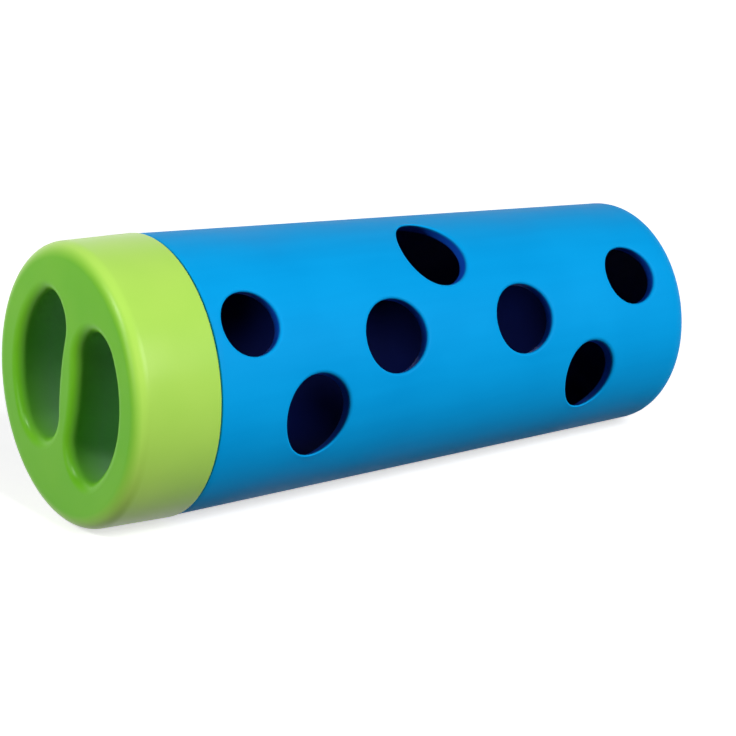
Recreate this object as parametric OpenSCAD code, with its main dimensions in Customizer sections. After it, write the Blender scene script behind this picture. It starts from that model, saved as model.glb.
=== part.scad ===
// Treat dispensing roller, lying on its side as it is used.
// A tapered tube with treat holes is closed at its narrow end.
// A hollow grip cap pushes on to a thin spigot at the wide end.
// Lengths are in millimetres and +Z is up.

/* [Tube] */
// Length from the shoulder under the cap to the closed end
tube_len = 128; // [110:1:160]
// Step in from the cap's outside to the tube's at the seam
seam_step = 0.2; // [0.1:0.05:0.5]
// Outside diameter at the closed end, before its edge is rounded
tube_end_d = 49.5; // [46:0.5:54]
// Wall thickness, the same all round and across the closed end
tube_wall = 3; // [2.6:0.1:3.6]
// Rounding of the outside edge at the closed end
end_round = 6; // [5:0.5:8]
// Width of the flat ring that the closed end stands on
foot_w = 4; // [3:0.5:6]
// Depth of the recess inside that ring
foot_depth = 0.8; // [0.4:0.1:1.2]
// Diameter of the gate mark in the middle of the recess
gate_d = 4; // [3:0.5:6]

/* [Spigot] */
// Length of the spigot that the cap pushes on to
spigot_len = 14; // [10:0.5:15]
// Width of the shoulder that the cap's rim lands on
shoulder_w = 1.6; // [1.4:0.05:1.7]
// Bevel that leads the cap on to the spigot
spigot_bevel = 0.6; // [0.4:0.1:0.8]
// Bevel of the tube's outside edge at the seam
seam_bevel = 0.3; // [0.2:0.05:0.4]

/* [Cap] */
// Outside diameter of the cap, which the tube's mouth follows
cap_d = 60; // [54:0.5:66]
// Length of the cap from its face to the seam
cap_len = 19.5; // [18.5:0.5:24]
// Thickness of the cap's face
face_wall = 2.4; // [2:0.1:2.8]
// Rounding of the cap's front edge
cap_round = 3.2; // [2:0.1:3.6]
// Rounding of the cap's rim at the seam
rim_round = 0.4; // [0.2:0.05:0.5]
// How far a grip rib stands in from the skirt
rib_rise = 0.35; // [0.25:0.05:0.4]
// Radius of the round back of a grip rib
rib_r = 0.8; // [0.7:0.05:0.9]
// Number of grip ribs inside the skirt
rib_count = 12; // [6:1:18]
// Radial play between the ribs and the spigot
rib_play = 0.05; // [0.02:0.01:0.1]

/* [Finger pockets] */
// Width of the bar between the two pockets, at its middle
bar_w = 7.4; // [7.2:0.2:9]
// Radius of the bar's sides, which swell towards its middle
bar_side_r = 58; // [50:1:120]
// Width of the ring of face left outside the pockets
face_ring = 9.3; // [8.5:0.1:10.5]
// Corner radius of a pocket, as a share of its width
corner_share = 0.37; // [0.35:0.01:0.42]
// Depth of a pocket
pocket_depth = 16; // [12:0.5:16]
// Wall of a pocket's cup inside the cap
pocket_wall = 2; // [1.6:0.1:2.2]
// Rounding of a pocket's rim
pocket_lip = 2.6; // [1.6:0.1:2.8]
// Turn of the bar away from upright
bar_turn = 7; // [-45:0.5:45]

/* [Treat holes] */
// Diameter of the large treat holes
hole_large = 15.8; // [12:0.2:16]
// Diameter of the middling treat holes
hole_medium = 15.2; // [11:0.2:15.6]
// Diameter of the treat hole next to the cap
hole_first = 13.8; // [11:0.2:15]
// Diameter of the small treat holes
hole_small = 13.2; // [10:0.2:13.6]
// Slope of the near holes above level, the same for all of them
hole_slope = 22; // [0:1:45]
// Station of the near hole next to the cap, as a share of the tube's length
hole_1_at = 0.0775; // [0.07:0.0025:0.08]
// Station of the second near hole
hole_2_at = 0.1935; // [0.18:0.0025:0.2]
// Station of the third near hole
hole_3_at = 0.355; // [0.34:0.0025:0.36]
// Station of the fourth near hole
hole_4_at = 0.4875; // [0.47:0.0025:0.495]
// Station of the fifth near hole
hole_5_at = 0.626; // [0.61:0.0025:0.63]
// Station of the sixth near hole
hole_6_at = 0.7715; // [0.755:0.0025:0.78]
// Station of the near hole next to the closed end
hole_7_at = 0.8775; // [0.865:0.0025:0.88]
// Turn of the holes in the middle row, down from the slope, at the tube's mean radius
row_turn = 2.5; // [0:0.5:5]
// Turn of the holes in the lower row
low_turn = 32.5; // [30:0.5:34]
// Turn of the hole in the upper row
high_turn = 35; // [33:0.5:36.5]
// Turn of the first and last holes, up from the slope
end_turn = 11; // [8:0.5:14]
// Shift of the far half's last holes towards the closed end
far_shift = 6.5; // [5.5:0.5:7.5]

/* [Hidden] */
$fa = 4;
$fs = 0.5;
slack = 1;
// Tube profile, measured along the axis from the shoulder
cap_r = cap_d / 2;
tube_r = cap_r - seam_step;
taper = (tube_r - tube_end_d / 2) / tube_len;
cone_a = atan(taper);
wall_r = tube_wall / cos(cone_a);
end_at = tube_len - end_round;
end_r = tube_r - end_at * taper - end_round / cos(cone_a);
bore_r = tube_r - wall_r;
bore_round = end_round - tube_wall;
bore_end = tube_len - tube_wall;
spigot_r = tube_r - shoulder_w;
foot_r = end_r - foot_w;
// Cap profile, which runs the other way from the same shoulder
skirt_r = spigot_r + rib_play + rib_rise;
rib_at = skirt_r - rib_rise + rib_r;
// Pocket outline: an arc round the cap's axis, two corner rounds and the swelling bar side
// Each corner round bulges past the sides it joins by a hair
bulge = 0.05;
// The flare of a pocket's rim passes the face and the wall that it joins by less
dip = 0.02;
bar_half = bar_w / 2;
bar_x = bar_half - bar_side_r;
pocket_reach = cap_r - face_ring;
pocket_corner = corner_share * (pocket_reach - bar_half);
// Middle of a corner round, by its distances from the cap's axis and from the bar side's centre
corner_out = pocket_reach - pocket_corner + bulge;
corner_in = bar_side_r + pocket_corner - bulge;
corner_x = (pow(bar_x, 2) + pow(corner_out, 2) - pow(corner_in, 2)) / (2 * bar_x);
corner_y = sqrt(pow(corner_out, 2) - pow(corner_x, 2));
corner_a = atan2(corner_y, corner_x);
bar_a = atan2(corner_y, corner_x - bar_x);
// Treat holes of each half, which all draw out along one line, in rows level with the axis
row_r = (tube_r + tube_end_d / 2) / 2;
near_turn = 90 + 180 - hole_slope;
far_turn = near_turn + 180;
// Holes that face the viewer: station, turn, diameter
near_holes = [
    [hole_1_at * tube_len, -end_turn, hole_first],
    [hole_2_at * tube_len, low_turn, hole_large],
    [hole_3_at * tube_len, row_turn, hole_large],
    [hole_4_at * tube_len, -high_turn, hole_medium],
    [hole_5_at * tube_len, row_turn, hole_medium],
    [hole_6_at * tube_len, low_turn, hole_small],
    [hole_7_at * tube_len, -end_turn, hole_small]
];
// Holes of the far half, set clear of the lines of sight through the near ones
far_holes = [
    [hole_1_at * tube_len, row_turn, hole_first],
    [hole_2_at * tube_len, -low_turn, hole_medium],
    [hole_2_at * tube_len, low_turn, hole_medium],
    [hole_4_at * tube_len, low_turn, hole_medium],
    [hole_6_at * tube_len + far_shift, -low_turn, hole_small],
    [hole_6_at * tube_len + far_shift, low_turn, hole_small]
];
// Lie of the roller, on the cap's rim and on the round of the closed end
rim_r = cap_r - rim_round;
lie_run = end_at + rim_round;
lie_rise = end_r - rim_r;
lie_span = norm([lie_run, lie_rise]);
lie_tilt = asin((rim_round - end_round) / lie_span) - atan2(lie_rise, lie_run);
lie_z = rim_r * cos(lie_tilt) - rim_round * sin(lie_tilt) + rim_round;
front_x = (cap_round - cap_len) * cos(lie_tilt) - (cap_r - cap_round) * sin(lie_tilt) - cap_round;
back_x = end_at * cos(lie_tilt) + end_r * sin(lie_tilt) + end_round;
lie_x = -(front_x + back_x) / 2;

// Lays a piece modelled along Z down on its side
module lay() {
    translate([lie_x, 0, lie_z])
        rotate([0, 90 + lie_tilt, 0])
            children();
}

// Outside of the tube as a solid, with the spigot in front of the shoulder
module tube_outside() {
    rotate_extrude()
        union() {
            polygon([
                [0, -spigot_len],
                [spigot_r - spigot_bevel, -spigot_len],
                [spigot_r, spigot_bevel - spigot_len],
                [spigot_r, 0],
                [tube_r - seam_bevel, 0],
                [tube_r - seam_bevel * taper, seam_bevel],
                [end_r + end_round * cos(cone_a), end_at + end_round * sin(cone_a)],
                [end_r, end_at],
                [end_r, tube_len],
                [0, tube_len]
            ]);
            translate([end_r, end_at])
                circle(end_round);
        }
}

// Inside of the tube, widest at the mouth so that its core draws out
module tube_bore() {
    rotate_extrude()
        union() {
            polygon([
                [0, -spigot_len - slack],
                [bore_r, -spigot_len - slack],
                [bore_r, 0],
                [end_r + bore_round * cos(cone_a), end_at + bore_round * sin(cone_a)],
                [end_r, end_at],
                [end_r, bore_end],
                [0, bore_end]
            ]);
            translate([end_r, end_at])
                circle(bore_round);
        }
}

// Recess under the closed end, with the gate mark left standing in it
module foot_recess() {
    deep = foot_depth + slack;
    translate([0, 0, tube_len - foot_depth])
        difference() {
            cylinder(h = deep, r1 = foot_r, r2 = foot_r + deep);
            cylinder(h = foot_depth / 2, d = gate_d);
        }
}

// Straight treat holes that all draw out along one line
module hole_set(holes, turn) {
    rotate([0, 0, turn])
        for (h = holes)
            translate([0, row_r * sin(h[1]), h[0]])
                rotate([0, 90, 0])
                    cylinder(h = tube_r + slack, d = h[2]);
}

module roller_tube() {
    color("deepskyblue")
        lay()
            difference() {
                tube_outside();
                tube_bore();
                foot_recess();
                hole_set(near_holes, near_turn);
                hole_set(far_holes, far_turn);
            }
}

// Area between the two corner rounds of a pocket, from a distance off the bar side's centre outwards
module pocket_span(from) {
    in_x = bar_x + from * cos(bar_a);
    in_y = from * sin(bar_a);
    out_x = corner_x + pocket_reach * cos(corner_a);
    out_y = corner_y + pocket_reach * sin(corner_a);
    polygon([
        [in_x, -in_y],
        [corner_x, -corner_y],
        [out_x, -out_y],
        [out_x, out_y],
        [corner_x, corner_y],
        [in_x, in_y]
    ]);
}

// Outline of one finger pocket, grown outwards by a wall
module pocket_outline(grow = 0) {
    difference() {
        intersection() {
            circle(pocket_reach + grow);
            pocket_span(bar_side_r - grow - slack);
        }
        translate([bar_x, 0])
            circle(bar_side_r - grow);
    }
    for (up = [-1, 1])
        translate([corner_x, up * corner_y])
            circle(pocket_corner + grow);
}

// Section of the flare at a pocket's rim, for a wall at radius r
module lip_section(r) {
    foot = r + pocket_lip - dip;
    difference() {
        translate([r - slack, -slack])
            square([foot - r + slack, pocket_lip + slack]);
        translate([foot, pocket_lip - dip])
            circle(pocket_lip);
    }
}

// Room for the flare between the two corner rounds
module flare_room(from) {
    translate([0, 0, -slack])
        linear_extrude(pocket_lip + slack)
            pocket_span(from);
}

// Flare that rounds a pocket's rim along its outer wall, corners and bar
module pocket_flare() {
    intersection() {
        rotate_extrude()
            lip_section(pocket_reach);
        flare_room(bar_side_r);
    }
    for (up = [-1, 1])
        translate([corner_x, up * corner_y, 0])
            rotate_extrude()
                lip_section(pocket_corner);
    intersection() {
        translate([bar_x, 0, 0])
            rotate_extrude()
                translate([2 * bar_side_r, 0])
                    mirror([1, 0])
                        lip_section(bar_side_r);
        flare_room(bar_side_r - pocket_lip - slack);
    }
}

// Sets both pockets out on the face, half a turn apart
module each_pocket() {
    for (half = [0, 180])
        rotate([0, 0, 90 + bar_turn + half])
            translate([0, 0, -cap_len])
                children();
}

// Shell of the cap, open behind
module cap_shell() {
    rotate_extrude()
        difference() {
            union() {
                translate([0, cap_round - cap_len])
                    square([cap_r, cap_len - cap_round - rim_round]);
                translate([0, -cap_len])
                    square([cap_r - cap_round, cap_len]);
                translate([cap_r - cap_round, cap_round - cap_len])
                    circle(cap_round);
                translate([0, -rim_round * 2])
                    square([cap_r - rim_round, rim_round * 2]);
                translate([cap_r - rim_round, -rim_round])
                    circle(rim_round);
            }
            translate([0, face_wall - cap_len])
                square([skirt_r, cap_len]);
        }
}

// Grip ribs along the inside of the skirt, each rooted half way into the skirt's wall
module grip_ribs() {
    rib_len = cap_len - face_wall - 2 * rim_round;
    translate([0, 0, face_wall - cap_len])
        intersection() {
            cylinder(h = rib_len, r = rib_at);
            for (i = [0 : rib_count - 1])
                rotate([0, 0, i * 360 / rib_count])
                    translate([rib_at, 0, 0])
                        cylinder(h = rib_len, r = rib_r);
        }
}

module grip_cap() {
    color("yellowgreen")
        lay()
            difference() {
                union() {
                    cap_shell();
                    grip_ribs();
                    each_pocket()
                        translate([0, 0, face_wall / 2])
                            linear_extrude(pocket_depth + pocket_wall - face_wall / 2)
                                pocket_outline(pocket_wall);
                }
                each_pocket() {
                    translate([0, 0, -slack])
                        linear_extrude(pocket_depth + slack)
                            pocket_outline();
                    pocket_flare();
                }
            }
}

roller_tube();
grip_cap();
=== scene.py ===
import bmesh
import bpy
import math
from mathutils import Matrix, Vector, geometry, kdtree


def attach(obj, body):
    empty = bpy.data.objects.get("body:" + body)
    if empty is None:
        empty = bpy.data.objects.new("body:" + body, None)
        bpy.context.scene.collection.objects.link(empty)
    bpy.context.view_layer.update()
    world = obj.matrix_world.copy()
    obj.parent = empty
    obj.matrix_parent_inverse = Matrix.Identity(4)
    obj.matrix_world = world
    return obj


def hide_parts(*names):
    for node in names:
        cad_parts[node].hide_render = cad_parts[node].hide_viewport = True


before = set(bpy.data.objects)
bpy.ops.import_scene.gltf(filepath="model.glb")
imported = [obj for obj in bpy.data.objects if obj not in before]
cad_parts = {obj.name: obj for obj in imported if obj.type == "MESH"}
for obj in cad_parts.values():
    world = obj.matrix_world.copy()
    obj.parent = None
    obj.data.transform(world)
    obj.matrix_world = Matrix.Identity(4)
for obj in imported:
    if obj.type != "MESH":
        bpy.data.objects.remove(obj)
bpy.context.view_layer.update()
perMetre = 1000  # the pieces' sizes are in millimetres
welds = {"tree": 0.001, "mesh": 0.002, "sliver": 0.0005, "flat": 1e-7}  # points nearer than this are one


def hexLinear(code):  # sRGB hex to the linear colour that a socket takes
    parts = [int(code[i:i + 2], 16) / 255 for i in (1, 3, 5)]
    return [c / 12.92 if c <= 0.04045 else ((c + 0.055) / 1.055) ** 2.4 for c in parts] + [1.0]


def put(tree, kind, links=(), **settings):  # one node, its settings, and what goes into its inputs
    node = tree.nodes.new(kind)
    for name, value in settings.items():
        setattr(node, name, value)
    for slot, value in links.items() if isinstance(links, dict) else enumerate(links):
        if isinstance(value, bpy.types.Node):
            value = value.outputs[0]
        if isinstance(value, bpy.types.NodeSocket):
            tree.links.new(value, node.inputs[slot])
        elif value is not None:
            node.inputs[slot].default_value = value
    return node


def nodeGroup(name, sizes):  # empty tree with named number inputs, and its input sockets by name
    tree = bpy.data.node_groups.new(name, "GeometryNodeTree")
    for size in sizes:
        tree.interface.new_socket(size, in_out="INPUT", socket_type="NodeSocketFloat")
    tree.interface.new_socket("Finish", in_out="INPUT", socket_type="NodeSocketMaterial")
    tree.interface.new_socket("Geometry", in_out="OUTPUT", socket_type="NodeSocketGeometry")
    return tree, put(tree, "NodeGroupInput").outputs


def handOver(tree, shape, finish):  # what every tree ends in
    closed = put(tree, "GeometryNodeMergeByDistance", {"Geometry": shape, "Distance": welds["tree"]})
    real = put(tree, "GeometryNodeRealizeInstances", (closed,))
    dressed = put(tree, "GeometryNodeSetMaterial", {"Geometry": real, "Material": finish})
    put(tree, "NodeGroupOutput", (dressed,))


def grow(tree, sizes):  # runs a tree once and hands back a plain mesh
    carrier = bpy.data.objects.new(tree.name, bpy.data.meshes.new(tree.name))
    bpy.context.scene.collection.objects.link(carrier)
    modifier = carrier.modifiers.new(tree.name, "NODES")
    modifier.node_group = tree
    for item in tree.interface.items_tree:
        if item.in_out == "INPUT":
            modifier[item.identifier] = sizes[item.name]
    grown = carrier.evaluated_get(bpy.context.evaluated_depsgraph_get())
    mesh = bpy.data.meshes.new_from_object(grown)
    bpy.data.objects.remove(carrier)
    return mesh


def turned(angle, radius, z):  # a point at an angle round the roller's axis
    return Vector((radius * math.cos(angle), radius * math.sin(angle), z))


def arc(centre, radius, start, end, steps):  # points of a rounding in a profile, angles in degrees
    angles = [math.radians(start + (end - start) * i / steps) for i in range(steps + 1)]
    return [(centre[0] + radius * math.cos(a), centre[1] + radius * math.sin(a)) for a in angles]


def sew(bm, rings):  # quads between rings of points, a fan where a ring is a single point
    rows = [[bm.verts.new(p) for p in ring] for ring in rings]
    count = max(len(row) for row in rows)
    for low, high in zip(rows, rows[1:]):
        for i in range(count):
            j = (i + 1) % count
            corners = [low[i % len(low)], low[j % len(low)], high[j % len(high)], high[i % len(high)]]
            bm.faces.new(list(dict.fromkeys(corners)))


def ringAngles(around):  # angles of a ring's points, from the same start on every ring
    return [2 * math.pi * i / around - math.pi / 2 for i in range(around)]


def lathe(bm, profile, around):  # spins a profile of (radius, station) round the axis
    angles = ringAngles(around)
    sew(bm, [[turned(a, r, z) for a in (angles if r > 0 else angles[:1])] for r, z in profile])


def fillFlat(bm, loops, place, extra=()):  # triangles between an outline and the holes in it
    flat, edges, loopOf = [], [], {}
    for n, loop in enumerate(loops):
        first = len(flat)
        flat += [Vector(p) for p in loop]
        edges += [(first + i, first + (i + 1) % len(loop)) for i in range(len(loop))]
        loopOf.update({first + i: n for i in range(len(loop))})
    flat += [Vector(p) for p in extra]
    points, _, faces, origin, _, _ = geometry.delaunay_2d_cdt(flat, edges, [], 1, welds["flat"])
    verts = [bm.verts.new(place(p)) for p in points]
    homes = [loopOf.get(ids[0], 0) for ids in origin]
    for face in faces:
        if homes[face[0]] == 0 or len({homes[i] for i in face}) > 1:  # all on one hole's rim: left open
            bm.faces.new([verts[i] for i in face])


def finishMesh(bm, name, matrix, sharpAngle=38):  # merged, turned outwards, laid down, shaded smooth
    bmesh.ops.remove_doubles(bm, verts=bm.verts, dist=welds["mesh"])
    bmesh.ops.dissolve_degenerate(bm, edges=bm.edges, dist=welds["sliver"])
    bmesh.ops.recalc_face_normals(bm, faces=bm.faces)
    bm.transform(matrix)
    for face in bm.faces:
        face.smooth = True
    for edge in bm.edges:
        if len(edge.link_faces) == 2 and edge.calc_face_angle() > math.radians(sharpAngle):
            edge.smooth = False
    mesh = bpy.data.meshes.new(name)
    bm.to_mesh(mesh)
    bm.free()
    piece = bpy.data.objects.new(name, mesh)
    bpy.context.scene.collection.objects.link(piece)
    return piece


cloudSpan = (0.3, 0.7)  # the part of a noise's range that shows


def moulded(name):  # fresh material with its shader and its object coordinates
    material = bpy.data.materials.new(name)
    material.use_nodes = True
    tree = material.node_tree
    return material, tree, tree.nodes["Principled BSDF"], put(tree, "ShaderNodeTexCoord").outputs["Object"]


def satinSkin(tree, shader, place, cloud, look):  # sheen that drifts with the flow clouds, over a fine grain
    rough = put(tree, "ShaderNodeMapRange", (cloud.outputs["Fac"], *cloudSpan, *look["rough"]))
    grain = put(tree, "ShaderNodeTexNoise", {"Vector": place, "Scale": perMetre / look["grain"],
                                             "Detail": 2.0})
    bump = put(tree, "ShaderNodeBump", {"Strength": 0.5, "Distance": look["grainDepth"] / perMetre,
                                        "Height": grain.outputs["Fac"]})
    tree.links.new(rough.outputs[0], shader.inputs["Roughness"])
    tree.links.new(bump.outputs[0], shader.inputs["Normal"])
    shader.inputs["IOR"].default_value = look["ior"]
    shader.inputs["Specular IOR Level"].default_value = look["specular"]


# polypropylene moulded in an eroded cavity: satin, with a fine grain, soft flow clouds, faint streaks along
# the roller and painted shade in the holes and bore; the grain is drawn coarser than it really is, so that
# it shows
def bluePlastic(tilt):
    look = {
        "light": "#06a0e6", "deep": "#0399df", "levels": (0.5, 0.9), "streakShare": 0.4, "streakDraw": 0.08,
        "paintedShades": [("#0d50c4", 0.1, 0.35), ("#0c1856", 0.8, 1.0)],  # painted shade of hole wall and bore, by share of wall
        "cloud": 26, "streak": 3.5, "grain": 0.55, "grainDepth": 0.02,  # mm
        "rough": (0.46, 0.56), "ior": 1.49, "specular": 0.03,
    }
    material, tree, shader, place = moulded("mouldedPolypropyleneBlue")
    cloud = put(tree, "ShaderNodeTexNoise", {"Vector": place, "Scale": perMetre / look["cloud"],
                                             "Detail": 2.0})
    along = put(tree, "ShaderNodeMapping", {"Vector": place, "Rotation": (0, -tilt, 0),
                                            "Scale": (look["streakDraw"], 1, 1)})
    streak = put(tree, "ShaderNodeTexNoise", {"Vector": along, "Scale": perMetre / look["streak"],
                                              "Detail": 3.0})
    blend = put(tree, "ShaderNodeMath", (streak.outputs["Fac"], look["streakShare"], cloud.outputs["Fac"]),
                operation="MULTIPLY_ADD")
    level = put(tree, "ShaderNodeMapRange", (blend, *look["levels"], 0.0, 1.0))
    skin = put(tree, "ShaderNodeMix", {0: level, 6: hexLinear(look["deep"]), 7: hexLinear(look["light"])},
               data_type="RGBA")
    depth = put(tree, "ShaderNodeAttribute", attribute_name="wallDepth")
    for colour, start, end in look["paintedShades"]:  # painted shade: a deeper blue on a hole's wall, the bore darkest
        shade = put(tree, "ShaderNodeMapRange", (depth.outputs["Fac"], start, end, 0.0, 1.0))
        skin = put(tree, "ShaderNodeMix", {0: shade, 6: skin.outputs[2], 7: hexLinear(colour)},
                   data_type="RGBA")
    tree.links.new(skin.outputs[2], shader.inputs["Base Color"])
    satinSkin(tree, shader, place, cloud, look)
    return material


# the same polypropylene in lime from a smoother cavity: satin with more sheen and the same coarser grain;
# painted light draws the skirt paler than the face, and painted shade turns the finger pockets a greyer
# green
def greenPlastic():
    look = {
        "skirt": "#b0dc5c", "face": "#66bc08", "pocket": "#80b47e", "mottle": 0.12,
        "skirtSpan": (0.0, 0.6), "pocketSpan": (0.03, 0.5),  # shares of the front round and of the depth, where the painted paler skirt and the painted pocket shade come in
        "cloud": 18, "grain": 0.55, "grainDepth": 0.02,  # mm
        "rough": (0.28, 0.34), "ior": 1.49, "specular": 0.15,
    }
    material, tree, shader, place = moulded("mouldedPolypropyleneLime")
    cloud = put(tree, "ShaderNodeTexNoise", {"Vector": place, "Scale": perMetre / look["cloud"],
                                             "Detail": 2.0})
    level = put(tree, "ShaderNodeMapRange", (cloud.outputs["Fac"], *cloudSpan, 0.0, look["mottle"]))
    # painted light: past the front round the skirt takes the paler skirt colour, over the random mottle
    skirt = put(tree, "ShaderNodeAttribute", attribute_name="skirtShare")
    paintedSkirtLight = put(tree, "ShaderNodeMapRange", (skirt.outputs["Fac"], *look["skirtSpan"],
                                            0.0, 1 - look["mottle"]))
    paintedLightAndMottle = put(tree, "ShaderNodeMath", (paintedSkirtLight, level), operation="ADD")
    skin = put(tree, "ShaderNodeMix", {0: paintedLightAndMottle, 6: hexLinear(look["face"]), 7: hexLinear(look["skirt"])},
               data_type="RGBA")
    # painted shade: towards a pocket's floor the colour turns to the greyer pocket green
    depth = put(tree, "ShaderNodeAttribute", attribute_name="pocketDepth")
    shade = put(tree, "ShaderNodeMapRange", (depth.outputs["Fac"], *look["pocketSpan"], 0.0, 1.0))
    colour = put(tree, "ShaderNodeMix", {0: shade, 6: skin.outputs[2], 7: hexLinear(look["pocket"])},
                 data_type="RGBA")
    tree.links.new(colour.outputs[2], shader.inputs["Base Color"])
    satinSkin(tree, shader, place, cloud, look)
    return material


# stations are counted along the axis from the seam
tubeSizes = {
    "length": 128, "mouthRadius": 29.8, "endRadius": 24.75, "wall": 3, "endRound": 6, "softEdge": 0.25,
    "spigotLength": 14, "spigotRadius": 28.2, "spigotBevel": 0.6, "seamGap": 0.3, "seamLand": 0.7,
    "footWidth": 4, "footDepth": 0.8, "footEase": 0.1,
    "gateRadius": 2, "gateFoot": (0.2, 0.1), "gateBevel": (0.15, 0.08),
    "around": 150, "skinStep": 1.3, "boreStep": 2.08, "flatRadius": 27,  # mesh of the two skins
    "endHold": 0.3, "footHold": 0.1, "sunkHold": 0.2, "sunkMiddle": 0.6,  # rings that keep the flats flat
}
lastFarRow = 0.7715 + 6.5 / tubeSizes["length"]  # 6.5 mm past the near row: no light shows straight through
holeSizes = {  # each hole is a share of the tube's length, degrees round its middle, and a diameter
    "slope": 22, "outerLip": 0.75, "innerLip": 0.45, "around": 96, "arcSteps": 7,
    "rimClear": 0.6,  # share of a step that the skin's grid keeps off a rim
    "near": [(0.0775, -11, 13.8), (0.1935, 32.5, 15.8), (0.355, 2.5, 15.8), (0.4875, -35, 15.2),
             (0.626, 2.5, 15.2), (0.7715, 32.5, 13.2), (0.8775, -11, 13.2)],
    "far": [(0.0775, 2.5, 13.8), (0.1935, -32.5, 15.2), (0.1935, 32.5, 15.2), (0.4875, 32.5, 15.2),
            (lastFarRow, -32.5, 13.2), (lastFarRow, 32.5, 13.2)],
}

# the tube's cone, and the middle of the round at its closed end
taper = (tubeSizes["mouthRadius"] - tubeSizes["endRadius"]) / tubeSizes["length"]
coneAngle = math.atan(taper)
wallAcross = tubeSizes["wall"] / math.cos(coneAngle)
endAt = tubeSizes["length"] - tubeSizes["endRound"]
endCentre = tubeSizes["mouthRadius"] - endAt * taper - tubeSizes["endRound"] / math.cos(coneAngle)
nearTurn = math.radians(270 - holeSizes["slope"])  # every hole of a half is drawn along this one line


def outerRadius(z):
    return tubeSizes["mouthRadius"] - z * taper


def innerRadius(z):
    return outerRadius(z) - wallAcross


def holeLipTree(steps, around):  # one hole: rounded lip, straight drawn wall, rounded inner edge
    tree, size = nodeGroup("treatHoleLip", ["Station", "Offset", "Radius", "Mouth Radius", "Taper", "Wall",
                                            "Outer Lip", "Inner Lip"])
    rows = 2 * steps + 1
    grid = put(tree, "GeometryNodeMeshGrid", (1.0, 1.0, around + 1, rows + 1))
    share = put(tree, "ShaderNodeSeparateXYZ", (put(tree, "GeometryNodeInputPosition"),))
    angle = put(tree, "ShaderNodeMath", (share.outputs[0], 2 * math.pi, math.pi), operation="MULTIPLY_ADD")
    row = put(tree, "ShaderNodeMath", (share.outputs[1], float(rows), rows / 2), operation="MULTIPLY_ADD")
    sine = put(tree, "ShaderNodeMath", (angle,), operation="SINE")
    cosine = put(tree, "ShaderNodeMath", (angle,), operation="COSINE")
    along = put(tree, "ShaderNodeMath", (cosine, size["Radius"], size["Station"]), operation="MULTIPLY_ADD")
    across = put(tree, "ShaderNodeMath", (sine, size["Radius"], size["Offset"]), operation="MULTIPLY_ADD")
    sineBack = put(tree, "ShaderNodeMath", (sine, -1.0), operation="MULTIPLY")
    cosineBack = put(tree, "ShaderNodeMath", (cosine, -1.0), operation="MULTIPLY")
    toAxis = put(tree, "ShaderNodeCombineXYZ", (0.0, sineBack, cosineBack))  # towards the hole's axis
    narrowing = put(tree, "ShaderNodeMath", (along, size["Taper"]), operation="MULTIPLY")
    outside = put(tree, "ShaderNodeMath", (size["Mouth Radius"], narrowing), operation="SUBTRACT")
    inside = put(tree, "ShaderNodeMath", (outside, size["Wall"]), operation="SUBTRACT")
    acrossSquare = put(tree, "ShaderNodeMath", (across, across), operation="MULTIPLY")
    made = []
    for reach, lip, sign, start in ((outside, size["Outer Lip"], 1.0, 0),
                                    (inside, size["Inner Lip"], -1.0, steps + 1)):
        square = put(tree, "ShaderNodeMath", (reach, reach), operation="MULTIPLY")
        depth = put(tree, "ShaderNodeMath", (square, acrossSquare), operation="SUBTRACT")
        pull = put(tree, "ShaderNodeMath", (depth,), operation="SQRT")
        rim = put(tree, "ShaderNodeCombineXYZ", (pull, across, along))
        lean = put(tree, "ShaderNodeMath", (reach, size["Taper"]), operation="MULTIPLY")
        slope = put(tree, "ShaderNodeCombineXYZ", (pull, across, lean))
        facing = put(tree, "ShaderNodeVectorMath", (slope,), operation="NORMALIZE")
        normal = put(tree, "ShaderNodeVectorMath", {0: facing, "Scale": sign}, operation="SCALE")
        dot = put(tree, "ShaderNodeVectorMath", (normal, toAxis), operation="DOT_PRODUCT").outputs["Value"]
        plus = put(tree, "ShaderNodeMath", (dot, 1.0), operation="ADD")
        minus = put(tree, "ShaderNodeMath", (1.0, dot), operation="SUBTRACT")
        ratio = put(tree, "ShaderNodeMath", (plus, minus), operation="DIVIDE")
        root = put(tree, "ShaderNodeMath", (ratio,), operation="SQRT")
        ball = put(tree, "ShaderNodeMath", (root, lip), operation="MULTIPLY")  # sets back by the lip's width
        back = put(tree, "ShaderNodeMath", (ball, plus), operation="DIVIDE")
        both = put(tree, "ShaderNodeVectorMath", (normal, toAxis), operation="ADD")
        inward = put(tree, "ShaderNodeVectorMath", {0: both, "Scale": back}, operation="SCALE")
        centre = put(tree, "ShaderNodeVectorMath", (rim, inward), operation="SUBTRACT")
        step = put(tree, "ShaderNodeMath", (row, float(start)), operation="SUBTRACT")
        turn = put(tree, "ShaderNodeMath", (step, float(steps)), operation="DIVIDE", use_clamp=True)
        rest = put(tree, "ShaderNodeMath", (1.0, turn), operation="SUBTRACT")
        first, last = (normal, toAxis) if sign > 0 else (toAxis, normal)
        fromFirst = put(tree, "ShaderNodeVectorMath", {0: first, "Scale": rest}, operation="SCALE")
        fromLast = put(tree, "ShaderNodeVectorMath", {0: last, "Scale": turn}, operation="SCALE")
        sweep = put(tree, "ShaderNodeVectorMath", (fromFirst, fromLast), operation="ADD")
        unit = put(tree, "ShaderNodeVectorMath", (sweep,), operation="NORMALIZE")
        out = put(tree, "ShaderNodeVectorMath", {0: unit, "Scale": ball}, operation="SCALE")
        made.append(put(tree, "ShaderNodeVectorMath", (centre, out), operation="ADD"))
    isInner = put(tree, "ShaderNodeMath", (row, steps + 0.5), operation="GREATER_THAN")
    spot = put(tree, "GeometryNodeSwitch", (isInner, made[0], made[1]), input_type="VECTOR")
    marked = put(tree, "GeometryNodeStoreNamedAttribute", {"Geometry": grid, "Name": "lipRow", "Value": row})
    shaped = put(tree, "GeometryNodeSetPosition", {"Geometry": marked, "Position": spot})
    handOver(tree, shaped, size["Finish"])
    return tree


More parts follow.
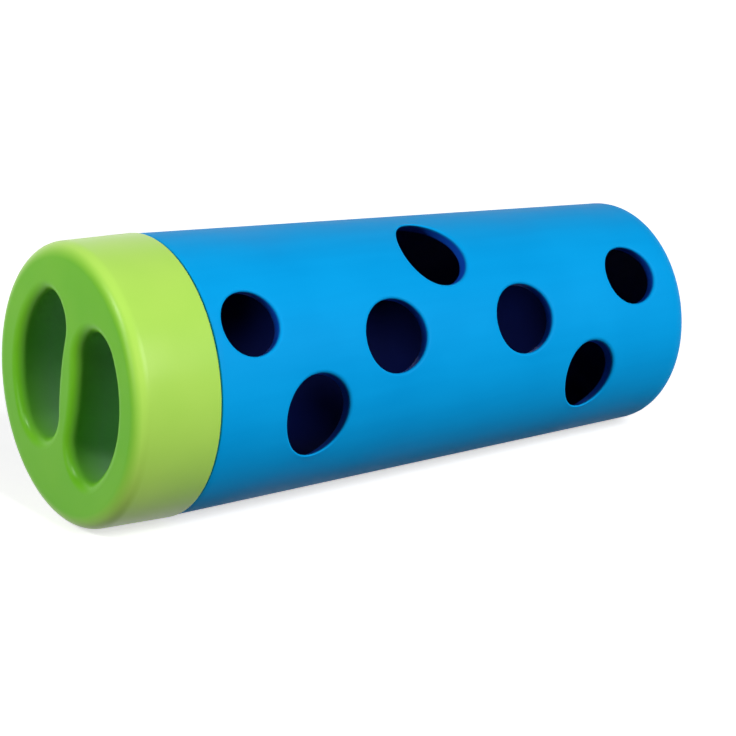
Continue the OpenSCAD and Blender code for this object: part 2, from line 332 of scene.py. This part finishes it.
def treatHole(bm, tree, hole, half, finish):  # adds one lip to the wall and hands back its two rims
    share, turn, diameter = hole
    station, middle = share * tubeSizes["length"], (tubeSizes["mouthRadius"] + tubeSizes["endRadius"]) / 2
    offset = middle * math.sin(math.radians(turn))  # the rows lie level in the mould
    mesh = grow(tree, {"Station": station, "Offset": offset, "Radius": diameter / 2,
                       "Mouth Radius": tubeSizes["mouthRadius"], "Taper": taper, "Wall": wallAcross,
                       "Outer Lip": holeSizes["outerLip"], "Inner Lip": holeSizes["innerLip"],
                       "Finish": finish})
    rows = [round(v.value) for v in mesh.attributes["lipRow"].data]
    rims = {0: [], max(rows): []}
    for vertex, row in zip(mesh.vertices, rows):
        if row in rims:  # the rims sit exactly on the two cones
            reach = outerRadius(vertex.co.z) if row == 0 else innerRadius(vertex.co.z)
            angle = math.atan2(vertex.co.y, vertex.co.x)
            vertex.co = turned(angle, reach, vertex.co.z)
            rims[row].append((vertex.co.z, angle + half))
    mesh.transform(Matrix.Rotation(half, 4, "Z"))
    mesh.attributes.remove(mesh.attributes["lipRow"])
    bm.from_mesh(mesh)
    bpy.data.meshes.remove(mesh)
    midAngle = half + math.asin(offset / outerRadius(station))
    for rim in rims.values():  # in order round the hole
        rim.sort(key=lambda p: math.atan2((p[1] - midAngle) * tubeSizes["flatRadius"], p[0] - station))
    return rims[0], rims[max(rows)]


def wrap(bm, radiusAt, first, last, step, rims):  # skin of the cone between two stations, holes left out
    flatten, around = tubeSizes["flatRadius"], tubeSizes["around"]
    rows = round((last - first) / step)

    def gridSpot(i, j):  # a point of the skin's grid, laid flat
        return first + (last - first) * i / rows, (2 * math.pi * j / around - math.pi / 2) * flatten

    loops = [[(z, a * flatten) for z, a in rim] for rim in rims]
    centres = [(sum(p[0] for p in loop) / len(loop), sum(p[1] for p in loop) / len(loop)) for loop in loops]
    rimPoints = [(p, centre) for loop, centre in zip(loops, centres) for p in loop]
    finder = kdtree.KDTree(len(rimPoints))
    for i, (p, _) in enumerate(rimPoints):
        finder.insert((p[0], p[1], 0), i)
    finder.balance()
    border = [(0, j) for j in range(around)] + [(i, around) for i in range(rows)]
    border += [(rows, around - j) for j in range(around)] + [(rows - i, 0) for i in range(rows)]
    edge, inner = [gridSpot(i, j) for i, j in border], []
    for i in range(1, rows):
        for j in range(1, around):
            p = gridSpot(i, j)
            near, index, gap = finder.find((p[0], p[1], 0))
            middle = rimPoints[index][1]
            within = math.dist(p, middle) < math.dist((near.x, near.y), middle)
            if gap > holeSizes["rimClear"] * step and not within:
                inner.append(p)
    fillFlat(bm, [edge] + loops, lambda p: turned(p[1] / flatten, radiusAt(p[0]), p[0]), inner)


def boreFloor(boreRound, coneDegrees):  # profile of the closed end from inside
    floor = tubeSizes["length"] - tubeSizes["wall"]
    flat = [(endCentre * i / 3, floor) for i in range(3)]
    return flat + arc((endCentre, endAt), boreRound, 90, coneDegrees, steps=8)


def spigotProfile(boreRadius, skinStart):  # from the bore round the mouth to the seam
    s, soft, mouth = tubeSizes, tubeSizes["softEdge"], -tubeSizes["spigotLength"]
    outside, land = s["spigotRadius"], s["spigotRadius"] + s["seamLand"]
    profile = [(boreRadius, 0), (boreRadius, mouth + soft)]
    profile += arc((boreRadius + soft, mouth + soft), soft, 180, 270, steps=3)
    profile += [(outside - s["spigotBevel"], mouth), (outside, mouth + s["spigotBevel"])]
    profile += [(outside, mouth / 2), (outside, 0)]
    profile += [(land, 0), (land, s["seamGap"])]  # the gap outside the land is the dark seam
    return profile + arc((outerRadius(skinStart) - soft, skinStart), soft, -90, 0, steps=3)


def closedEnd(coneDegrees):  # profile of the end from outside: round edge, foot ring, sunk middle, gate mark
    s, soft, ease = tubeSizes, tubeSizes["softEdge"], tubeSizes["footEase"]
    top, sunk = s["length"], s["length"] - s["footDepth"]
    foot = endCentre - s["footWidth"]
    footTop = foot + s["footDepth"]
    gate, gateTop = s["gateRadius"], sunk + s["footDepth"] / 2
    profile = arc((endCentre, endAt), s["endRound"], coneDegrees, 90, steps=12)
    profile += [(endCentre - s["endHold"], top), (footTop + soft + s["footHold"], top)]
    profile += [(footTop + soft, top), (footTop, top - ease), (foot + ease, sunk + ease / 2)]
    profile += [(foot - soft, sunk), (foot - soft - s["sunkHold"], sunk), (foot * s["sunkMiddle"], sunk)]
    profile += [(gate + s["gateFoot"][0], sunk), (gate, sunk + s["gateFoot"][1])]
    profile += [(gate, gateTop - s["gateBevel"][1]), (gate - s["gateBevel"][0], gateTop)]
    return profile + [(gate / 2, gateTop), (0, gateTop)]


def markWallDepth(bm, boreRadius):  # 0 on the outside, 1 on the inside: the mask of the painted shade on hole walls and bore
    s, depth = tubeSizes, bm.verts.layers.float.new("wallDepth")
    for vertex in bm.verts:
        z, reach = vertex.co.z, math.hypot(vertex.co.x, vertex.co.y)
        share = (outerRadius(z) - reach) / wallAcross
        if z < s["seamGap"] + welds["mesh"]:  # the spigot has its own outside
            share = (s["spigotRadius"] - reach) / (s["spigotRadius"] - boreRadius)
        if z > endAt:  # round the closed end the wall is measured from the round's own middle
            share = (s["endRound"] - math.hypot(max(reach - endCentre, 0), z - endAt)) / s["wall"]
        vertex[depth] = min(1.0, max(0.0, share))


def rollerTube(lay, finish):
    bm = bmesh.new()
    tree = holeLipTree(holeSizes["arcSteps"], holeSizes["around"])
    outerRims, innerRims = [], []
    for half, holes in ((0.0, holeSizes["near"]), (math.pi, holeSizes["far"])):
        for hole in holes:
            outer, inner = treatHole(bm, tree, hole, half, finish)
            outerRims.append(outer)
            innerRims.append(inner)
    print("treat holes:", len(outerRims))
    s, coneDegrees, boreRadius = tubeSizes, math.degrees(coneAngle), innerRadius(0)
    boreRound = s["endRound"] - s["wall"]
    skinStart, skinEnd = s["seamGap"] + s["softEdge"], endAt + s["endRound"] * math.sin(coneAngle)
    boreEnd = endAt + boreRound * math.sin(coneAngle)
    wrap(bm, outerRadius, skinStart, skinEnd, s["skinStep"], outerRims)
    wrap(bm, innerRadius, 0, boreEnd, s["boreStep"], innerRims)
    for profile in (boreFloor(boreRound, coneDegrees), spigotProfile(boreRadius, skinStart),
                    closedEnd(coneDegrees)):
        lathe(bm, profile, s["around"])
    bmesh.ops.remove_doubles(bm, verts=bm.verts, dist=welds["mesh"])
    markWallDepth(bm, boreRadius)
    piece = finishMesh(bm, "rollerTubeBlue", lay @ Matrix.Rotation(nearTurn, 4, "Z"))
    piece.data.materials.append(finish)
    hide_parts("roller_tube")
    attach(piece, "tube")
    return piece


capSizes = {
    "radius": 30, "length": 19.5, "faceWall": 2.4, "frontRound": 3.2, "rimRound": 0.4,
    "skirtRadius": 28.6, "skirtBevel": 0.25, "ribRise": 0.35, "ribRadius": 0.8, "ribCount": 12,
    "barWidth": 7.4, "barSide": 58, "barTurn": 7, "pocketReach": 20.7, "pocketDepth": 16,
    "pocketCorner": 6.29, "pocketShortCorner": 7.5, "pocketWall": 2, "pocketLip": 2.4,
    "floorRound": 1.6, "rootRound": 0.4, "cupRound": 1, "around": 720,
    "frontHold": 0.4, "hold": 0.3, "cupHold": 0.2, "lipHold": 0.12,  # rings that keep the flats flat
}


def ribbedSkirtTree(around):  # inside of the cap's skirt with its grip ribs
    tree, size = nodeGroup("ribbedSkirt", ["Skirt Radius", "Rib Rise", "Rib Radius", "Rib Count",
                                           "Low", "High"])
    grid = put(tree, "GeometryNodeMeshGrid", (1.0, 1.0, around + 1, 2))
    share = put(tree, "ShaderNodeSeparateXYZ", (put(tree, "GeometryNodeInputPosition"),))
    angle = put(tree, "ShaderNodeMath", (share.outputs[0], 2 * math.pi, math.pi / 2),
                operation="MULTIPLY_ADD")
    ribs = put(tree, "ShaderNodeMath", (size["Rib Count"], 2 * math.pi), operation="DIVIDE")
    count = put(tree, "ShaderNodeMath", (angle, ribs, 0.5), operation="MULTIPLY_ADD")
    nearest = put(tree, "ShaderNodeMath", (count,), operation="FLOOR")
    spot = put(tree, "ShaderNodeMath", (nearest, ribs), operation="DIVIDE")
    off = put(tree, "ShaderNodeMath", (angle, spot), operation="SUBTRACT")  # from the nearest rib's middle
    rise = put(tree, "ShaderNodeMath", (size["Skirt Radius"], size["Rib Rise"]), operation="SUBTRACT")
    middle = put(tree, "ShaderNodeMath", (rise, size["Rib Radius"]), operation="ADD")
    offSine = put(tree, "ShaderNodeMath", (off,), operation="SINE")
    offCosine = put(tree, "ShaderNodeMath", (off,), operation="COSINE")
    sideways = put(tree, "ShaderNodeMath", (offSine, middle), operation="MULTIPLY")
    forward = put(tree, "ShaderNodeMath", (offCosine, middle), operation="MULTIPLY")
    ribSquare = put(tree, "ShaderNodeMath", (size["Rib Radius"], 2.0), operation="POWER")
    sideSquare = put(tree, "ShaderNodeMath", (sideways, sideways), operation="MULTIPLY")
    under = put(tree, "ShaderNodeMath", (ribSquare, sideSquare), operation="SUBTRACT")
    clipped = put(tree, "ShaderNodeMath", (under, 0.0), operation="MAXIMUM")
    chord = put(tree, "ShaderNodeMath", (clipped,), operation="SQRT")
    back = put(tree, "ShaderNodeMath", (forward, chord), operation="SUBTRACT")
    reach = put(tree, "ShaderNodeMath", (back, size["Skirt Radius"]), operation="MINIMUM")
    sine = put(tree, "ShaderNodeMath", (angle,), operation="SINE")
    cosine = put(tree, "ShaderNodeMath", (angle,), operation="COSINE")
    x = put(tree, "ShaderNodeMath", (cosine, reach), operation="MULTIPLY")
    y = put(tree, "ShaderNodeMath", (sine, reach), operation="MULTIPLY")
    up = put(tree, "ShaderNodeMath", (share.outputs[1], 0.5), operation="ADD")
    rib = put(tree, "ShaderNodeMath", (size["High"], size["Low"]), operation="SUBTRACT")
    z = put(tree, "ShaderNodeMath", (up, rib, size["Low"]), operation="MULTIPLY_ADD")
    place = put(tree, "ShaderNodeCombineXYZ", (x, y, z))
    shaped = put(tree, "GeometryNodeSetPosition", {"Geometry": grid, "Position": place})
    handOver(tree, shaped, size["Finish"])
    return tree


def pocketOutline(steps=30):  # points of one finger pocket with their outward directions
    s, reach, side = capSizes, capSizes["pocketReach"], capSizes["barSide"]
    barX = s["barWidth"] / 2 - side  # middle of the arc that swells the bar's side
    places = []
    for corner in (s["pocketCorner"], s["pocketShortCorner"]):  # each touches the pocket's edge and the bar
        x = (barX ** 2 + (reach - corner) ** 2 - (side + corner) ** 2) / (2 * barX)
        y = math.sqrt((reach - corner) ** 2 - x ** 2)
        places.append((x, y, corner, math.atan2(y, x), math.atan2(y, x - barX)))
    (x1, y1, long, edge1, bend1), (x2, y2, short, edge2, bend2) = places
    stretches = (  # middle, radius, first and last angle, points, which way is out of the pocket
        (0, 0, reach, -edge2, edge1, 2 * steps, 1),
        (x1, y1, long, edge1, math.pi + bend1, steps, 1),
        (barX, 0, side, bend1, -bend2, steps, -1),
        (x2, -y2, short, math.pi - bend2, 2 * math.pi - edge2, steps, 1))
    spots = []
    for x, y, radius, start, end, count, out in stretches:
        for i in range(count):
            a = start + (end - start) * i / count
            cosine, sine = math.cos(a), math.sin(a)
            spots.append((x + radius * cosine, y + radius * sine, out * cosine, out * sine))
    return spots


def ribbedSkirt(bm, low, high, finish):  # adds the ribbed inside and hands back its ring at the rim
    s, around = capSizes, capSizes["around"]
    mesh = grow(ribbedSkirtTree(around), {"Skirt Radius": s["skirtRadius"], "Rib Rise": s["ribRise"],
                                          "Rib Radius": s["ribRadius"], "Rib Count": float(s["ribCount"]),
                                          "Low": low, "High": high, "Finish": finish})
    ringAt = {}
    for vertex in mesh.vertices:
        if abs(vertex.co.z - high) < welds["mesh"]:
            angle = math.atan2(vertex.co.y, vertex.co.x) + math.pi / 2
            ringAt[round(angle * around / 2 / math.pi) % around] = vertex.co.copy()
    ribRing = [ringAt[i] for i in range(around)]
    sew(bm, [[turned(a, s["skirtRadius"], high) for a in ringAngles(around)], ribRing])
    bm.from_mesh(mesh)
    bpy.data.meshes.remove(mesh)
    print("grip ribs:", s["ribCount"])
    return ribRing


def fingerPocket(bm, depth, outline, half):  # adds one pocket and the cup behind it, hands back their edges
    s, face, under = capSizes, -capSizes["length"], capSizes["faceWall"] - capSizes["length"]
    floor, cupEnd = s["pocketDepth"] - s["length"], s["pocketDepth"] + s["pocketWall"] - s["length"]
    lip, soft = s["pocketLip"], s["floorRound"]
    wall, root, cup = s["pocketWall"], s["rootRound"], s["cupRound"]
    spin = Matrix.Rotation(math.radians(90 + s["barTurn"]) + half, 4, "Z")

    def loop(offset, z):
        return [spin @ Vector((x + offset * nx, y + offset * ny, z)) for x, y, nx, ny in outline]

    rings = [loop(lip + s["lipHold"], face)]
    rings += [loop(x, z + face) for x, z in arc((lip, lip), lip, 270, 180, steps=9)]
    rings += [loop(0, floor / 2 + (lip + face) / 2), loop(0, floor - soft - s["hold"])]
    rings += [loop(x, z) for x, z in arc((-soft, floor - soft), soft, 0, 90, steps=6)]
    rings += [loop(-soft - s["hold"], floor)]
    before = len(bm.verts)
    sew(bm, rings)
    fillFlat(bm, [[p.xy for p in rings[-1]]], lambda p: Vector((p[0], p[1], floor)))
    bm.verts.ensure_lookup_table()
    for vertex in bm.verts[before:]:
        vertex[depth] = (vertex.co.z - face) / s["pocketDepth"]
    shell = [loop(wall + root + s["lipHold"], under)]
    shell += [loop(x, z) for x, z in arc((wall + root, under + root), root, 270, 180, steps=4)]
    shell += [loop(wall, cupEnd - cup - s["cupHold"])]
    shell += [loop(x, z) for x, z in arc((wall - cup, cupEnd - cup), cup, 0, 90, steps=5)]
    shell += [loop(wall - cup - s["hold"], cupEnd)]
    sew(bm, shell)
    fillFlat(bm, [[p.xy for p in shell[-1]]], lambda p: Vector((p[0], p[1], cupEnd)))
    return [p.xy for p in rings[0]], [p.xy for p in shell[0]]


def gripCap(lay, finish):
    s, around = capSizes, capSizes["around"]
    face, under = -s["length"], s["faceWall"] - s["length"]
    radius, front, rim, skirt = s["radius"], s["frontRound"], s["rimRound"], s["skirtRadius"]
    ribEnd = -2 * rim  # the ribs stop short of the rim
    faceRadius = radius - front - s["frontHold"]
    bm = bmesh.new()
    depth = bm.verts.layers.float.new("pocketDepth")  # 0 on the face, 1 on a pocket's floor: the mask of the painted pocket shade
    skin = [(faceRadius, face)] + arc((radius - front, front + face), front, 270, 360, steps=10)
    skin += [(radius, face / 2), (radius, -rim - s["hold"])] + arc((radius - rim, -rim), rim, 0, 90, steps=5)
    skin += [(skirt + s["skirtBevel"], 0), (skirt, -s["skirtBevel"]), (skirt, ribEnd)]
    lathe(bm, skin, around)
    ribRing = ribbedSkirt(bm, under, ribEnd, finish)
    outline = pocketOutline()
    pockets = [fingerPocket(bm, depth, outline, half) for half in (0, math.pi)]
    ring = [turned(a, faceRadius, 0).xy for a in ringAngles(around)]
    fillFlat(bm, [ring] + [edge for edge, _ in pockets], lambda p: Vector((p[0], p[1], face)))
    underRing = [Vector((p.x, p.y)) for p in ribRing]
    fillFlat(bm, [underRing] + [edge for _, edge in pockets], lambda p: Vector((p[0], p[1], under)))
    share = bm.verts.layers.float.new("skirtShare")  # 0 on the face, 1 past the front round: the mask of the painted paler skirt
    for vertex in bm.verts:
        out, ahead = math.hypot(vertex.co.x, vertex.co.y) - radius + front, face + front - vertex.co.z
        vertex[share] = 0 if out < 0 else 1 if ahead < 0 else math.atan2(out, ahead) / (math.pi / 2)
    piece = finishMesh(bm, "gripCapLime", lay)
    piece.data.materials.append(finish)
    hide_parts("grip_cap")
    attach(piece, "cap")
    return piece


def lieDown():  # how the roller lies on its cap's rim and its rounded end: its matrix and its tilt
    rim, front, back = capSizes["rimRound"], capSizes["frontRound"], tubeSizes["endRound"]
    rimRadius = capSizes["radius"] - rim
    run, rise = endAt + rim, endCentre - rimRadius
    tilt = math.asin((rim - back) / math.hypot(run, rise)) - math.atan2(rise, run)
    cosine, sine = math.cos(tilt), math.sin(tilt)
    height = rimRadius * cosine - rim * sine + rim
    frontX = (front - capSizes["length"]) * cosine - (capSizes["radius"] - front) * sine - front
    backX = endAt * cosine + endCentre * sine + back
    lay = Matrix.Scale(1 / perMetre, 4) @ Matrix.Translation((-(frontX + backX) / 2, 0, height))
    print("lie: tilt", round(math.degrees(tilt), 4), "axis height", round(height, 3))
    return lay @ Matrix.Rotation(math.pi / 2 + tilt, 4, "Y"), tilt


lay, lieTilt = lieDown()
blueFinish, greenFinish = bluePlastic(lieTilt), greenPlastic()
print("materials made")
blueTube = rollerTube(lay, blueFinish)
print("tube faces:", len(blueTube.data.polygons))
limeCap = gripCap(lay, greenFinish)
print("cap faces:", len(limeCap.data.polygons))


def photoCamera():
    settings = {"place": (-0.35937, -0.52837, 0.20839), "turn": (73.7814, 0.1757, -34.4245),  # m, degrees
                "lens": 148.28, "sensor": 36, "clip": (0.01, 50)}
    data = bpy.data.cameras.new("photoCamera")
    data.lens, data.sensor_width = settings["lens"], settings["sensor"]
    data.clip_start, data.clip_end = settings["clip"]
    camera = bpy.data.objects.new("photoCamera", data)
    camera.location = settings["place"]
    camera.rotation_euler = [math.radians(a) for a in settings["turn"]]
    bpy.context.scene.collection.objects.link(camera)
    bpy.context.scene.camera = camera


def seenDirectly(tree):  # 1 for what the eye, a reflection or a clear piece shows, 0 for bounced light
    path = put(tree, "ShaderNodeLightPath").outputs
    shown = put(tree, "ShaderNodeMath", (path["Is Camera Ray"], path["Is Glossy Ray"]), operation="MAXIMUM")
    return put(tree, "ShaderNodeMath", (shown, path["Is Transmission Ray"]), operation="MAXIMUM")


def paperWhite(settings):  # matt paper that shows white and keeps a soft shadow
    paper = bpy.data.materials.new("paperSweepWhite")
    paper.use_nodes = True
    tree = paper.node_tree
    tree.nodes.clear()
    shown = seenDirectly(tree)
    tone = put(tree, "ShaderNodeMix", {0: shown, 6: hexLinear(settings["floorBounce"]),
                                       7: hexLinear(settings["floorSeen"])}, data_type="RGBA")
    matt = put(tree, "ShaderNodeBsdfDiffuse", (tone.outputs[2],))
    place = put(tree, "ShaderNodeTexCoord").outputs["Object"]
    away = put(tree, "ShaderNodeVectorMath", (place,), operation="LENGTH").outputs["Value"]
    fade = put(tree, "ShaderNodeMapRange", (away, *settings["glowSpan"], *settings["glow"]))
    strength = put(tree, "ShaderNodeMath", (shown, fade), operation="MULTIPLY")
    glow = put(tree, "ShaderNodeEmission", {"Color": (1, 1, 1, 1), "Strength": strength})
    put(tree, "ShaderNodeOutputMaterial", (put(tree, "ShaderNodeAddShader", (matt, glow)),))
    return paper


def studio():
    settings = {
        "floorSize": 12.0, "floorSeen": "#f0f0f0", "floorBounce": "#464646", "sky": 0.035,
        "glowSpan": (0.1, 0.7), "glow": (0.58, 0.9),  # the paper whitens over these distances, in metres
        "lamps": [  # name, what it is aimed at, towards the lamp, distance, size, power
            ("keySoftbox", (0, 0, 0.05), (0.14, -0.86, 0.47), 1.4, 0.7, 20.6),
            ("faceSoftbox", (-0.07, 0, 0.055), (-0.97, 0.10, 0.15), 1.6, 0.7, 7.8),
            ("lipLamp", (-0.07, 0, 0.045), (-0.84, 0.05, 0.54), 0.29, 0.07, 0.44),
            ("backSoftbox", (0.02, 0, 0.03), (0.30, 0.94, 0.10), 1.6, 2.4, 8.0)],
    }
    scene = bpy.context.scene
    scene.view_settings.view_transform = "Standard"
    world = bpy.data.worlds.new("studioWhite")
    world.use_nodes = True
    scene.world = world
    tree = world.node_tree
    tree.nodes.clear()
    strength = put(tree, "ShaderNodeMapRange", (seenDirectly(tree), 0.0, 1.0, settings["sky"], 1.0))
    white = put(tree, "ShaderNodeBackground", ((1, 1, 1, 1), strength))
    put(tree, "ShaderNodeOutputWorld", (white,))
    bm = bmesh.new()
    bmesh.ops.create_grid(bm, x_segments=1, y_segments=1, size=settings["floorSize"] / 2)
    mesh = bpy.data.meshes.new("studioFloor")
    bm.to_mesh(mesh)
    bm.free()
    floor = bpy.data.objects.new("studioFloor", mesh)
    scene.collection.objects.link(floor)
    floor.data.materials.append(paperWhite(settings))
    for name, aim, side, distance, size, power in settings["lamps"]:
        data = bpy.data.lights.new(name, "AREA")
        data.energy, data.size = power, size
        lamp = bpy.data.objects.new(name, data)
        away = Vector(side).normalized() * distance
        lamp.location = Vector(aim) + away
        lamp.rotation_euler = (-away).to_track_quat("-Z", "Y").to_euler()
        lamp.visible_camera = False
        scene.collection.objects.link(lamp)


photoCamera()
studio()
print("stage ready")
